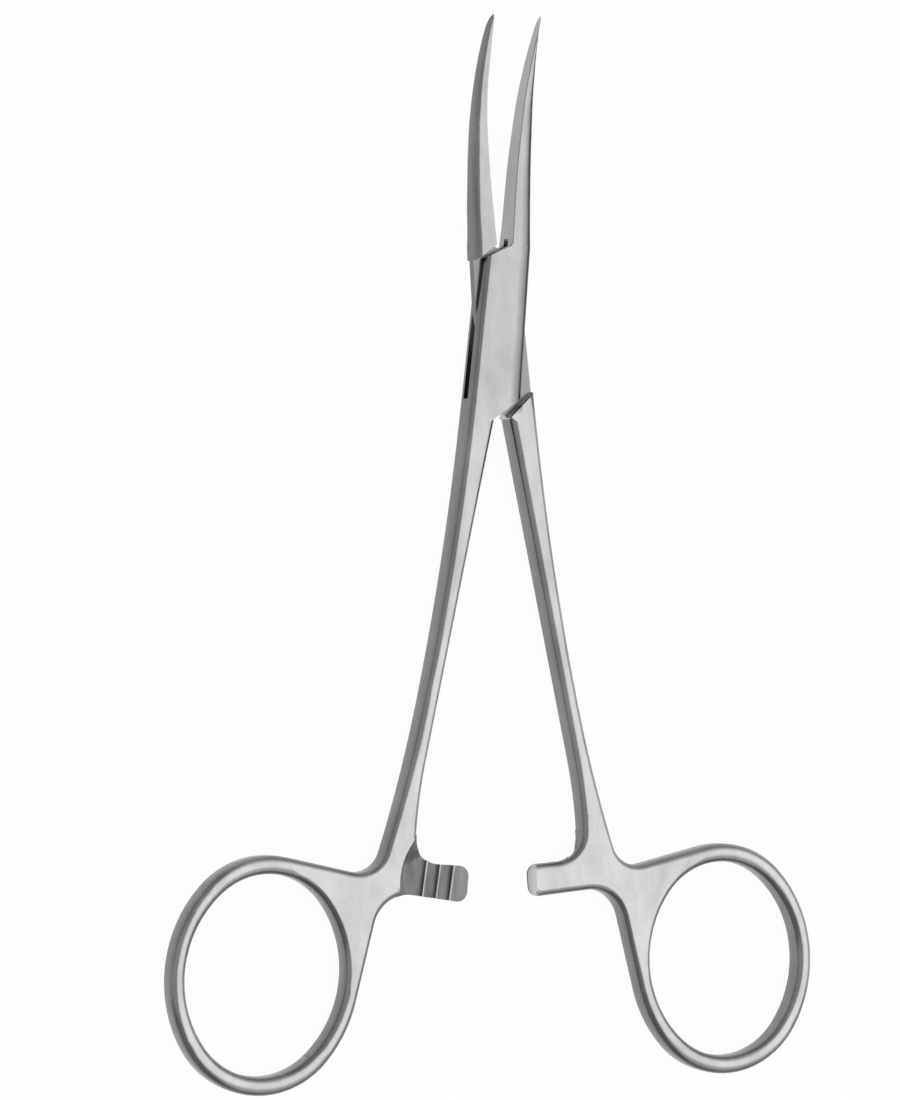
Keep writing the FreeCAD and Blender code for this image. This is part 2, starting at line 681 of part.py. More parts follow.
def ratchet(body, sign):
    """Saw teeth on the arm: on its top with sign 1, under it with sign -1, in a round recess."""
    upwards = sign > 0
    level = f"(@ratchet_level - {sign} * @ratchet_clearance)"
    floor = f"({level} - {sign} * @tooth_depth)"
    slant = "rotation(vector(0; 0; 1); -@tooth_slant)"
    crest = "(@arm_reach - @tip_land)"
    last_tooth = f"({crest} - (@tooth_count - 1) * @tooth_pitch)"

    at_level = f"placement(vector(0; -{ARM_MIDDLE}; {level}); {slant})"
    recess = new_sketch(body, "RecessPlan", "XY_Plane", at_level)
    radius = value_of("@ratchet_recess")
    circle = recess.addGeometry(Part.Circle(vector(0, 0), FreeCAD.Vector(0, 0, 1), radius))
    constrain(recess, "Coincident", circle, 3, -1, 1)
    constrain(recess, "Radius", circle, size="@ratchet_recess")
    check_sketch(recess)
    pocket(body, recess, "Recess", "@box_thickness", "One side", upwards)

    at_floor = f"placement(vector(0; -{ARM_MIDDLE}; {floor}); {slant})"
    landing = new_sketch(body, "LandingPlan", "XY_Plane", at_floor)
    across = value_of(last_tooth)
    spread = math.degrees(math.acos(across / radius))
    arc = arc_edge(landing, (0, 0), radius, spread, 360 - spread)
    rise = math.sqrt(radius**2 - across**2)
    chord = line_edge(landing, (across, -rise), (across, rise))
    constrain(landing, "Coincident", arc, 3, -1, 1)
    constrain(landing, "Coincident", arc, 2, chord, 1)
    constrain(landing, "Coincident", chord, 2, arc, 1)
    constrain(landing, "Vertical", chord)
    constrain(landing, "Radius", arc, size="@ratchet_recess")
    constrain(landing, "DistanceX", -1, 1, chord, 1, size=last_tooth)
    check_sketch(landing)
    pocket(body, landing, "Landing", "@box_thickness", "One side", upwards)

    upright = f"placement(vector(0; 0; {ARM_MIDDLE}); rotation(vector(0; 1; 0); -@tooth_slant))"
    profile = new_sketch(body, "ToothProfile", "XZ_Plane", upright)
    ramp_top = f"{crest} - @tooth_pitch"
    clear = f"({level} + {sign} * @tooth_depth)"
    polygon(
        profile,
        [
            (ramp_top, level),
            (crest, floor),
            (crest, clear),
            (ramp_top, clear),
        ],
    )
    check_sketch(profile)
    gap = pocket(body, profile, "ToothGap", "2 * @arm_width")
    teeth = body.newObject("PartDesign::LinearPattern", "Teeth")
    teeth.Originals = [gap]
    teeth.Direction = (profile, ["H_Axis"])
    teeth.Reversed = True
    teeth.Refine = False
    bind(teeth, Occurrences="@tooth_count - 1", Length="(@tooth_count - 2) * @tooth_pitch")
    body.Tip = teeth
    doc.recompute()


def half(name, arm_lean):
    """What both halves share, drawn with the jaw on the right and the ring on the left."""
    body = doc.addObject("PartDesign::Body", name)
    body.Label = name
    pad(body, blank_outline(body, arm_lean), "Blank", "@box_thickness")
    taper(body)
    round_rims(body)
    jaw(body)
    serrations(body)
    lift = "vector(0; 0; @box_thickness / 2)"
    turn = "rotation(vector(0; 0; 1); -@half_opening)"
    bind(body, Placement=f"placement({lift}; {turn})")
    return body


def box_half():
    """The half with the slotted box, whose ratchet teeth point up."""
    body = half("box_half", "@box_arm_lean")
    cut_slot(body)
    bore(body, "@pin_radius")
    ratchet(body, 1)
    return body


def tenon_half():
    """The half that passes through the slot, with teeth that point down, mirrored into place."""
    body = half("tenon_blank", "@tenon_arm_lean")
    cut_tenon(body)
    bore(body, "@pin_radius + @pin_clearance")
    ratchet(body, -1)
    mirrored = doc.addObject("Part::Mirroring", "tenon_half")
    mirrored.Label = "tenon_half"
    mirrored.Source = body
    mirrored.Normal = FreeCAD.Vector(1, 0, 0)
    return mirrored


def pivot_pin():
    """The riveted pin, ground flush with both cheeks."""
    pin = doc.addObject("Part::Cylinder", "pivot_pin")
    pin.Label = "pivot_pin"
    bind(pin, Radius="@pin_radius", Height="@box_thickness")
    return pin


def main():
    pieces = [box_half(), tenon_half(), pivot_pin()]
    doc.recompute()
    for thing in doc.Objects:
        if "Invalid" in thing.State or "Error" in thing.State:
            raise RuntimeError(f"{thing.Label} failed: {thing.State}")
    os.makedirs("parts", exist_ok=True)
    for piece in pieces:
        shape = piece.Shape
        if shape.isNull() or not shape.isValid() or len(shape.Solids) != 1:
            raise RuntimeError(f"{piece.Label} isn't one valid solid")
        shape.exportStep(f"parts/{piece.Label}.step")
        print(piece.Label, round(shape.Volume, 2), "mm3", len(shape.Faces), "faces")


sheet = make_sheet()
main()
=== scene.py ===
"""Curved hemostat forceps, dressed and lit: satin stainless steel on a white studio floor."""
import math

import bmesh
import bpy
from mathutils import Matrix, Vector


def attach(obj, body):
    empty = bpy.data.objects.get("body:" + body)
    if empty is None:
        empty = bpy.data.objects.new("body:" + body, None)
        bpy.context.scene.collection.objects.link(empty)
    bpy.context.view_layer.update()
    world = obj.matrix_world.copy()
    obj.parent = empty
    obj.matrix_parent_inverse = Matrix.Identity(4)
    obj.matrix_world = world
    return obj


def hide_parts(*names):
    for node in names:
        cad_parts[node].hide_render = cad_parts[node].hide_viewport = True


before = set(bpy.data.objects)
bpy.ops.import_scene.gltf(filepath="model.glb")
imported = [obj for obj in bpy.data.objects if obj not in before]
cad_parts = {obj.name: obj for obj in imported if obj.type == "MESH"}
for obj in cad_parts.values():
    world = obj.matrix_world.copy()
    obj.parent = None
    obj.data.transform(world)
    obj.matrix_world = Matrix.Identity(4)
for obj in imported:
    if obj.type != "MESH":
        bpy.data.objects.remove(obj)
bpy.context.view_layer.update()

MM = 0.001

# photograph: a long lens to the left of the instrument, its place in millimetres from the pivot
PHOTO_LONG_SIDE = 1100
FOCAL_PIXELS = 4743.0
SENSOR = 36.0
YAW = math.radians(24.25)
ROLL = math.radians(-0.13)
CAMERA_OFFSET = Vector((-5.515, -25.56, 547.4))
CAMERA_NEAR, CAMERA_FAR = 0.01, 10.0
BOX_MIDDLE = 1.8

# stage, in metres
FLOOR_HALF = 3.0
FLOOR_GLOW = 0.95
LAMP_SIZE = 0.9
LAMP_POWER = 0.3
LAMP_PLACE = (0.15, 0.1, 1.0)

# light tent: brightness by degrees from straight up, towards the right and towards the tips
TENT_RADIUS = 1.2
TENT_GREY = 0.3
TENT_ACROSS = [
    (-90, 0.85),
    (-66, 0.6),
    (-44, 0.54),
    (-32, 0.42),
    (-18, 0.3),
    (-8, 0.3),
    (0, 0.75),
    (8, 1.15),
    (66, 1.15),
    (76, 0.6),
    (86, 0.3),
    (90, 0.3),
]
TENT_ALONG = [
    (-90, 0.1),
    (-86, 0.1),
    (-66, 0.9),
    (-50, 1.0),
    (12, 1.0),
    (20, 0.8),
    (30, 0.62),
    (42, 0.5),
    (60, 0.36),
    (88, 0.2),
    (90, 0.2),
]

# mesh
WELD = 0.001
SHARP_ANGLE = math.radians(30)

# regions that the mesh carries, for finishes and for painted light and shade, and how level a face
# lies, as the z of its normal
FINISH_AND_SHADE_REGIONS = ("milled", "wall", "arm_tip", "lock", "shoulder", "jaw_face")
LEVEL = 0.5
STEEP = 0.7
FLAT = 0.9
NEARLY_FLAT = 0.97

# Places on one half are in millimetres from the pivot, with the half turned straight: across, with
# the jaw on the right, along, towards the tips, and height above the box's middle plane.
HALF_OPENING = math.radians(4.67)

# ratchet arms: the recess is a circle round the arm's middle, milled between two heights
ARM_MIDDLE = 63.885
RECESS_RADIUS = 7.62
RATCHET_REACH = (-0.35, 0.9)
TENON_RATCHET_DROP = 0.6
WALL_REACH = 7.0
ARM_TIP_REACH = 2.4
ARM_TIP_LEAN = 0.3

# the recess floor rises along a curve to the circle, and stays below the shank's top there
RISE_START = 5.4
RISE_POWER = 0.6
RISE_RIM = 0.5
NEAR_WALL = 0.5
ON_WALL = 0.06
FLOOR_SLACK = 0.01

# the right arm's tip is level out to its edge: from where, half the width, and how deep it reaches
TIP_START = 0.2
TIP_HALF_WIDTH = 3.4
TIP_DEPTH = 0.62
TIP_BLEND = 0.9

# box lock
TENON_SURFACE = 0.6
SHOULDER_REGION = (8.0, 14.0)

# jaws: straight, then bent upwards on a radius, and drawn to a fine point over the last part
JAW_FACE_START = 9.7
JAW_FACE_DEPTH = 0.2
JAW_CLEARANCE = 0.05
ON_JAW = 0.045
WIDTH_WINDOW = 0.8
CURVE_START = 17.0
CURVE_RADIUS = 38.0
POINT_ANGLE = math.radians(29.3)
POINT_LENGTH = 1.6
POINT_SHARE = 0.25
POINT_TOP = 0.38
GROOVE_SHARE = 0.35

# hand finishing of each jaw: distance along, then metal off its inner face and off its outer side
BOX_JAW_FINISH = [
    (8.4, 0.0, 0.0),
    (9.8, 0.15, 0.0),
    (14.0, 0.17, 0.0),
    (23.0, 0.16, 0.0),
    (26.0, 0.06, 0.1),
    (29.0, 0.02, 0.2),
    (32.0, 0.0, 0.37),
    (34.0, 0.0, 0.48),
    (37.0, 0.0, 0.43),
]
TENON_JAW_FINISH = [
    (7.4, 0.0, 0.05),
    (9.0, 0.0, 0.14),
    (9.8, 0.12, 0.15),
    (14.0, 0.12, 0.12),
    (17.0, 0.14, 0.2),
    (21.0, 0.16, 0.18),
    (24.0, 0.22, 0.09),
    (28.0, 0.18, 0.02),
    (31.0, 0.05, 0.0),
    (37.0, 0.0, 0.0),
]

# greys of the polished steel by how level it lies, a painted shade that darkens the sides, and of
# the other surfaces
STEEL_SHADE_BY_LEVEL = [
    (0.0, "#797979"),
    (0.5, "#818181"),
    (0.71, "#939393"),
    (0.82, "#a6a6a6"),
    (0.91, "#bababa"),
    (0.966, "#c7c7c7"),
    (1.0, "#cbcbcb"),
]
# milled faces of the ratchet recess: darker, part by their milled finish and part by painted shade
# of the recess
MILLED_AND_SHADED_GREY = "#898989"
# painted highlight: the walls of the box half's ratchet recess are set near white
WALL_HIGHLIGHT_GREY = "#e7e7e7"
# the tenon's faces in the box lock: darker, part by their milled finish and part by painted shade
# between the cheeks
LOCK_MILLED_AND_SHADED_GREY = "#a2a2a2"
# painted light: the jaws' inner faces are set lighter than the painted shade of the other sides
JAW_FACE_LIT_GREY = "#acacac"

# greys of the shoulders and of the right arm's tip by millimetres above the floor, painted light
# and shade:
# on the shoulders a painted light band low down and a painted dark shade above it, lighter at the
# top edge, on the arm's tip painted dark shade low down and lighter above
SHOULDER_LIGHT_AND_SHADE_BY_HEIGHT = [
    (2.35, "#f9f9f9"),
    (3.0375, "#f3f3f3"),
    (3.2, "#6c6c6c"),
    (3.475, "#595959"),
    (3.6, "#959595"),
]
# painted shade low on the right arm's rounded tip, and lighter above
ARM_TIP_LIGHT_AND_SHADE_BY_HEIGHT = [
    (1.8, "#454545"),
    (2.372, "#454545"),
    (2.502, "#aaaaaa"),
    (3.1, "#b5b5b5"),
]

# Ratchet teeth, counted in pitches: the pad at the arm's tip lies above 0 and the teeth below it,
# with their crests between two counts. Painted highlight strips on the crests and painted shade at
# the feet are shares of a pitch, and the pad is painted lighter.
TOOTH_ANGLE = math.radians(4.67 + 3.5)
ARM_CENTRE = (5.2, 63.67)
TOOTH_PITCH = 1.715
TIP_LAND = 0.6
CRESTS = (-2.04, 0.5)
CREST_HIGHLIGHT_STRIP = 0.1
CREST_HIGHLIGHT_GREY = "#c8c8c8"
FOOT_STRIP = 0.955
FOOT_SHADE_GREY = "#737373"
PAD_LIT_GREY = "#979797"

# painted shade where the box and jaws round off to the right: brightness taken off by lean, and
# the part it is for
RIGHT_LEAN = [(0.02, 0.0), (0.6, 0.6)]
RIGHT_PART = [(-10.0, 0.0), (-8.6, 1.0)]

# the right edge of the box and jaw, as distance along and across, and the painted shade by share
# of it
RIGHT_EDGE = [
    (-12.0, 2.78),
    (0.0, 2.77),
    (9.4, 2.6),
    (14.7, 2.3),
    (20.0, 1.97),
    (26.0, 1.35),
    (36.0, 0.3),
]
EDGE_LOSS = [(0.48, 0.0), (1.0, 0.78)]
EDGE_FLOOR = 2.6
EDGE_REACH = 0.3

# the painted shade line along the top inner edge of the right jaw: from and to, across, and the
# loss
EDGE_LINE = (-0.2, 0.16)
EDGE_LINE_LOSS = 0.55

# painted light and shade: how bright the steel is kept along the instrument
LIGHT_AND_SHADE_BY_PLACE = [
    (-40.0, 1.0),
    (-14.0, 0.96),
    (-6.0, 0.86),
    (8.0, 0.86),
    (14.0, 0.8),
    (26.0, 0.88),
    (36.0, 0.88),
]

# painted shade on the finger rings where they lean towards their far end
RING_PART = [(-52.0, 0.0), (-62.0, 1.0)]
RING_LEAN = [(-0.04, 0.0), (-0.16, 0.5)]
RING_LEVEL = [(0.35, 0.0), (0.65, 1.0)]

# Patterns, in millimetres. The polishing wheel leaves blotches of about 4 mm, twice as long as
# wide. Satin grit is about 0.03 mm and cutter marks are about 0.1 mm apart, which is too fine to
# show, so the grain is drawn at 0.2 mm and the streaks at 0.7 mm. Tones go by the noise's value.
BLOTCH_SIZE = 3.846
BLOTCH_STRETCH = (1.0, 0.45, 1.0)
BLOTCH_TONE = [(0.3, 0.84), (0.7, 1.16)]
GRAIN_SIZE = 0.2
GRAIN_TONE = [(0.3, 0.96), (0.7, 1.04)]
GRAIN_BUMP = 0.06
GRAIN_DEPTH = 0.1
STREAK_SIZE = 0.7143
STREAK_STRETCH = (1.0, 0.12, 1.0)
STREAK_TONE = [(0.3, 0.78), (0.7, 1.22)]
SATIN_ROUGHNESS = [(0.3, 0.2), (0.7, 0.3)]
MILLED_ROUGHNESS = 0.5
SHOULDER_ROUGHNESS = 0.8


def linear(code):
    """The linear colour of an sRGB hex code, with full alpha."""
    channels = [int(code[i : i + 2], 16) / 255 for i in (1, 3, 5)]
    return tuple(
        c / 12.92 if c <= 0.04045 else ((c + 0.055) / 1.055) ** 2.4 for c in channels
    ) + (1.0,)


def link(thing):
    bpy.context.scene.collection.objects.link(thing)
    return thing


def add_node(tree, kind, inputs=(), stops=(), **settings):
    """Adds a node with its settings and ramp stops, and fills or links its inputs."""
    node = tree.nodes.new(kind)
    for name, value in settings.items():
        setattr(node, name, value)
    pairs = inputs.items() if isinstance(inputs, dict) else enumerate(inputs)
    for key, value in pairs:
        if isinstance(value, bpy.types.Node):
            value = value.outputs[0]
        if isinstance(value, bpy.types.NodeSocket):
            tree.links.new(value, node.inputs[key])
        else:
            node.inputs[key].default_value = value
    if stops:
        elements = node.color_ramp.elements
        while len(elements) < len(stops):
            elements.new(0.5)
        for element, (position, shade) in zip(elements, stops):
            element.position = position
            element.color = linear(shade) if isinstance(shade, str) else (shade,) * 3 + (1,)
    return node


def new_material(name):
    material = bpy.data.materials.new(name)
    material.use_nodes = True
    material.node_tree.nodes.clear()
    return material


def from_table(tree, value, table, unit=1.0):
    """Looks a number or a grey up by place, with the places of the rows in a unit of the value."""
    first, last = table[0][0], table[-1][0]
    share = add_node(
        tree,
        "ShaderNodeMapRange",
        {"Value": value, "From Min": first * unit, "From Max": last * unit},
    )
    stops = [((place - first) / (last - first), entry) for place, entry in table]
    return add_node(tree, "ShaderNodeValToRGB", [share], stops)


def product(tree, first, *others):
    """Multiplies numbers. The product of masks holds where they all do."""
    for other in others:
        first = add_node(tree, "ShaderNodeMath", [first, other], operation="MULTIPLY")
    return first


def paint(tree, base, where, grey):
    """Lays a grey over a base where a mask holds, or where the mesh carries a marked region by
    name.
    """
    if isinstance(where, str):
        where = add_node(tree, "ShaderNodeAttribute", attribute_name=where).outputs["Fac"]
    if isinstance(grey, str):
        grey = linear(grey)[0]
    return add_node(
        tree, "ShaderNodeMix", {"Factor": where, "A": base, "B": grey}, data_type="FLOAT"
    )


# camera


def make_camera():
    """Stands to the left of the instrument and looks down on it."""
    tilt = Matrix.Rotation(YAW, 3, "Y")
    turn = Matrix.Rotation(ROLL, 3, "Z")
    axes = (turn @ tilt).transposed()
    place = (axes @ CAMERA_OFFSET + Vector((0, 0, BOX_MIDDLE))) * MM
    data = bpy.data.cameras.new("camera")
    data.lens = FOCAL_PIXELS * SENSOR / PHOTO_LONG_SIDE
    data.sensor_width = SENSOR
    data.clip_start = CAMERA_NEAR
    data.clip_end = CAMERA_FAR
    camera = link(bpy.data.objects.new("camera", data))
    camera.matrix_world = Matrix.Translation(place) @ axes.to_4x4()
    bpy.context.scene.camera = camera


# stage


def make_world():
    world = bpy.data.worlds.new("white_room")
    world.use_nodes = True
    tree = world.node_tree
    tree.nodes.clear()
    white = {"Color": linear("#ffffff"), "Strength": 1.0}
    shade = add_node(tree, "ShaderNodeBackground", white)
    add_node(tree, "ShaderNodeOutputWorld", {"Surface": shade})
    bpy.context.scene.world = world


def floor_material():
    """Seamless white paper: matte, and an even white to the eye and in the metal."""
    material = new_material("white_floor")
    tree = material.node_tree
    paths = add_node(tree, "ShaderNodeLightPath").outputs
    seen = paths["Is Camera Ray"]
    for ray in ("Is Glossy Ray", "Is Transmission Ray"):
        seen = add_node(tree, "ShaderNodeMath", [seen, paths[ray]], operation="MAXIMUM")
    share = add_node(tree, "ShaderNodeMath", [seen, FLOOR_GLOW], operation="MULTIPLY")
    matte = add_node(tree, "ShaderNodeBsdfDiffuse", {"Color": linear("#f4f4f4")})
    white = {"Color": linear("#ffffff"), "Strength": 1.0}
    glow = add_node(tree, "ShaderNodeEmission", white)
    surface = add_node(tree, "ShaderNodeMixShader", [share, matte, glow])
    add_node(tree, "ShaderNodeOutputMaterial", {"Surface": surface})
    return material


def make_floor():
    mesh = bpy.data.meshes.new("floor")
    half = FLOOR_HALF
    corners = [(-half, -half, 0), (half, -half, 0), (half, half, 0), (-half, half, 0)]
    mesh.from_pydata(corners, [], [(0, 1, 2, 3)])
    mesh.materials.append(floor_material())
    floor = link(bpy.data.objects.new("floor", mesh))


def tent_material():
    """White nylon tent cloth: dim at the left, with one bright panel over the right side."""
    material = new_material("light_tent")
    tree = material.node_tree
    place = add_node(tree, "ShaderNodeTexCoord").outputs["Object"]
    x, y, z = add_node(tree, "ShaderNodeSeparateXYZ", [place]).outputs
    degree = math.radians(1)
    angle = add_node(tree, "ShaderNodeMath", [x, z], operation="ARCTAN2")
    sideways = from_table(tree, angle, TENT_ACROSS, degree)
    angle = add_node(tree, "ShaderNodeMath", [y, z], operation="ARCTAN2")
    endways = from_table(tree, angle, TENT_ALONG, degree)
    bright = paint(tree, TENT_GREY, endways, sideways)
    glow = add_node(tree, "ShaderNodeEmission", {"Strength": bright})
    add_node(tree, "ShaderNodeOutputMaterial", {"Surface": glow})
    return material


def make_tent():
    """A light tent over the table, seen only in the metal."""
    mesh = bpy.data.meshes.new("tent")
    shape = bmesh.new()
    bmesh.ops.create_uvsphere(shape, u_segments=64, v_segments=32, radius=TENT_RADIUS)
    shape.to_mesh(mesh)
    shape.free()
    mesh.materials.append(tent_material())
    tent = link(bpy.data.objects.new("tent", mesh))
    tent.visible_camera = False
    tent.visible_diffuse = False
    tent.visible_shadow = False


def make_lamp():
    """A soft box over the table, which the metal doesn't show."""
    data = bpy.data.lights.new("softbox", "AREA")
    data.shape = "RECTANGLE"
    data.size = LAMP_SIZE
    data.size_y = LAMP_SIZE
    data.energy = LAMP_POWER
    lamp = link(bpy.data.objects.new("softbox", data))
    lamp.visible_glossy = False
    lamp.location = LAMP_PLACE
    lamp.rotation_euler = Vector(LAMP_PLACE).to_track_quat("Z", "Y").to_euler()


# steel


def paint_teeth_light_and_shade(tree, grey, place):
    """Painted highlights on the ratchet teeth's crests, painted shade at their feet, and a lighter
    painted pad at the tip.
    """
    cos, sin = math.cos(TOOTH_ANGLE), math.sin(TOOTH_ANGLE)
    start = (TIP_LAND + ARM_CENTRE[0] * cos - ARM_CENTRE[1] * sin) / TOOTH_PITCH
    size = -1 / (TOOTH_PITCH * MM)
    either_arm = add_node(tree, "ShaderNodeVectorMath", [place], operation="ABSOLUTE")
    along_arm = add_node(
        tree,
        "ShaderNodeMapping",
        {
            "Vector": either_arm,
            "Location": (start, 0, 0),
            "Rotation": (0, 0, TOOTH_ANGLE),
            "Scale": (size, size, 1),
        },
    )
    count = add_node(tree, "ShaderNodeSeparateXYZ", [along_arm])
    within = add_node(tree, "ShaderNodeMath", [count], operation="FRACT")
    milled = add_node(tree, "ShaderNodeAttribute", attribute_name="milled").outputs["Fac"]
    first, last = CRESTS
    pad = add_node(tree, "ShaderNodeMath", [count, 0.0], operation="GREATER_THAN")
    ramps = add_node(tree, "ShaderNodeMath", [count, 0.0], operation="LESS_THAN")
    after = add_node(tree, "ShaderNodeMath", [count, first], operation="GREATER_THAN")
    before = add_node(tree, "ShaderNodeMath", [count, last], operation="LESS_THAN")
    crest_highlight = add_node(tree, "ShaderNodeMath", [within, CREST_HIGHLIGHT_STRIP], operation="LESS_THAN")
    foot = add_node(tree, "ShaderNodeMath", [within, FOOT_STRIP], operation="GREATER_THAN")
    grey = paint(tree, grey, product(tree, milled, pad), PAD_LIT_GREY)
    grey = paint(tree, grey, product(tree, milled, after, foot, ramps), FOOT_SHADE_GREY)
    return paint(tree, grey, product(tree, milled, after, crest_highlight, before), CREST_HIGHLIGHT_GREY)


def shade_right_side(tree, grey, normal, spot, half):
    """Painted shade where the box and the jaws round off to the right."""
    across, along, height = half
    part = from_table(tree, spot["Y"], RIGHT_PART, MM)
    lean = from_table(tree, normal["X"], RIGHT_LEAN)
    edge = from_table(tree, along, RIGHT_EDGE)
    share = add_node(tree, "ShaderNodeMath", [across, edge], operation="DIVIDE")
    beside = from_table(tree, share, EDGE_LOSS)
    past = add_node(tree, "ShaderNodeMath", [across, edge], operation="SUBTRACT")
    near = add_node(tree, "ShaderNodeMath", [past, EDGE_REACH], operation="LESS_THAN")
    raised = add_node(tree, "ShaderNodeMath", [height, EDGE_FLOOR], operation="GREATER_THAN")
    grey = paint(tree, grey, product(tree, lean, part), 0.0)
    return paint(tree, grey, product(tree, beside, part, near, raised), 0.0)


def draw_edge_shade_line(tree, grey, normal, half):
    """A painted dark shade line along the top inner edge of the right jaw."""
    across, along, _ = half
    faces = [(place, JAW_CLEARANCE + inner) for place, inner, _ in BOX_JAW_FINISH]
    inner = from_table(tree, along, faces)
    inside = add_node(tree, "ShaderNodeMath", [across, inner], operation="SUBTRACT")
    low, high = EDGE_LINE
    after = add_node(tree, "ShaderNodeMath", [inside, low], operation="GREATER_THAN")
    before = add_node(tree, "ShaderNodeMath", [inside, high], operation="LESS_THAN")
    jaw = add_node(tree, "ShaderNodeMath", [along, JAW_FACE_START], operation="GREATER_THAN")
    top = add_node(tree, "ShaderNodeMath", [normal["Z"], STEEP], operation="GREATER_THAN")
    return paint(tree, grey, product(tree, after, before, jaw, top, EDGE_LINE_LOSS), 0.0)


def shade_rings(tree, grey, normal, spot):
    """Painted shade on the side of the finger rings that the light doesn't reach."""
    part = from_table(tree, spot["Y"], RING_PART, MM)
    lean = from_table(tree, normal["Y"], RING_LEAN)
    level = from_table(tree, normal["Z"], RING_LEVEL)
    return paint(tree, grey, product(tree, lean, part, level), 0.0)


def steel_material():
    """Stainless steel, drop forged, milled at the ratchet and the lock, ground and satin polished.

    Level faces are painted bright and the rounded sides are painted darker grey, a painted shade
    by how level they lie. Faint blotches and a fine grain break up what they mirror, and the
    milled recess is darker, part by its milled finish and part by painted shade, with streaks.
    """
    material = new_material("satin_stainless_steel")
    tree = material.node_tree
    place = add_node(tree, "ShaderNodeTexCoord").outputs["Object"]
    spot = add_node(tree, "ShaderNodeSeparateXYZ", [place]).outputs
    facing = add_node(tree, "ShaderNodeNewGeometry").outputs["Normal"]
    normal = add_node(tree, "ShaderNodeSeparateXYZ", [facing]).outputs
    straight = add_node(
        tree,
        "ShaderNodeMapping",
        {"Vector": place, "Rotation": (0, 0, HALF_OPENING), "Scale": (1 / MM,) * 3},
    )
    half = add_node(tree, "ShaderNodeSeparateXYZ", [straight]).outputs

    up = add_node(tree, "ShaderNodeMath", [normal["Z"]], operation="ABSOLUTE")
    # painted light and shade by height on the shoulders and on the right arm's tip
    shoulder = from_table(tree, spot["Z"], SHOULDER_LIGHT_AND_SHADE_BY_HEIGHT, MM)
    arm_tip = from_table(tree, spot["Z"], ARM_TIP_LIGHT_AND_SHADE_BY_HEIGHT, MM)
    # painted shade: the grey darkens on the sides by how level a face lies
    grey = from_table(tree, up, STEEL_SHADE_BY_LEVEL)
    # milled faces darker, part by their milled finish and part by painted shade
    grey = paint(tree, grey, "milled", MILLED_AND_SHADED_GREY)
    # lock faces darker, part by their milled finish and part by painted shade
    grey = paint(tree, grey, "lock", LOCK_MILLED_AND_SHADED_GREY)
    # painted light on the jaws' inner faces
    grey = paint(tree, grey, "jaw_face", JAW_FACE_LIT_GREY)
    grey = paint(tree, grey, "shoulder", shoulder)
    grey = paint(tree, grey, "arm_tip", arm_tip)
    # painted highlight on the recess walls
    grey = paint(tree, grey, "wall", WALL_HIGHLIGHT_GREY)
    # painted highlights on the teeth's crests, painted shade at their feet and a lighter painted
    # pad
    grey = paint_teeth_light_and_shade(tree, grey, place)
    # painted shade where the box and jaws round off to the right
    grey = shade_right_side(tree, grey, normal, spot, half)
    # painted shade line along the right jaw's top inner edge
    grey = draw_edge_shade_line(tree, grey, normal, half)
    # painted shade on the finger rings
    grey = shade_rings(tree, grey, normal, spot)
    # painted light and shade along the length
    bright = from_table(tree, half["Y"], LIGHT_AND_SHADE_BY_PLACE)

    stretched = {"Vector": place, "Scale": BLOTCH_STRETCH}
    blotch = add_node(
        tree,
        "ShaderNodeTexNoise",
        {
            "Vector": add_node(tree, "ShaderNodeMapping", stretched),
            "Scale": 1 / (BLOTCH_SIZE * MM),
            "Detail": 4.0,
            "Roughness": 0.6,
        },
    )
    grain = add_node(
        tree,
        "ShaderNodeTexNoise",
        {"Vector": place, "Scale": 1 / (GRAIN_SIZE * MM), "Detail": 3.0},
    )
    stretched = {"Vector": place, "Scale": STREAK_STRETCH}
    streak = add_node(
        tree,
        "ShaderNodeTexNoise",
        {
            "Vector": add_node(tree, "ShaderNodeMapping", stretched),
            "Scale": 1 / (STREAK_SIZE * MM),
            "Detail": 3.0,
        },
    )
    streaks = paint(tree, 1.0, "milled", from_table(tree, streak, STREAK_TONE))
    blotches = from_table(tree, blotch, BLOTCH_TONE)
    grains = from_table(tree, grain, GRAIN_TONE)
    grey = product(tree, grey, bright, streaks, blotches, grains)

    roughness = from_table(tree, blotch, SATIN_ROUGHNESS)
    roughness = paint(tree, roughness, "milled", MILLED_ROUGHNESS)
    roughness = paint(tree, roughness, "shoulder", SHOULDER_ROUGHNESS)
    bump = add_node(
        tree,
        "ShaderNodeBump",
        {"Height": grain, "Strength": GRAIN_BUMP, "Distance": GRAIN_DEPTH * MM},
    )
    shade = add_node(
        tree,
        "ShaderNodeBsdfPrincipled",
        {"Base Color": grey, "Metallic": 1.0, "Roughness": roughness, "Normal": bump},
    )
    add_node(tree, "ShaderNodeOutputMaterial", {"Surface": shade})
    return material


# forgings


def place_in_half(point, mirrored):
    """A point of the mesh in millimetres of the straightened half, with the jaw on the right."""
    x, y, z = point / MM
    if mirrored:
        x = -x
    across, along = Matrix.Rotation(HALF_OPENING, 2) @ Vector((x, y))
    return across, along, z - BOX_MIDDLE


def between(table, along, column):
    """The value in a column of a table of rows that start with a distance, by straight lines."""
    last = table[0]
    if along <= last[0]:
        return last[column]
    for row in table[1:]:
        if along <= row[0]:
            share = (along - last[0]) / (row[0] - last[0])
            return last[column] + share * (row[column] - last[column])
        last = row
    return last[column]


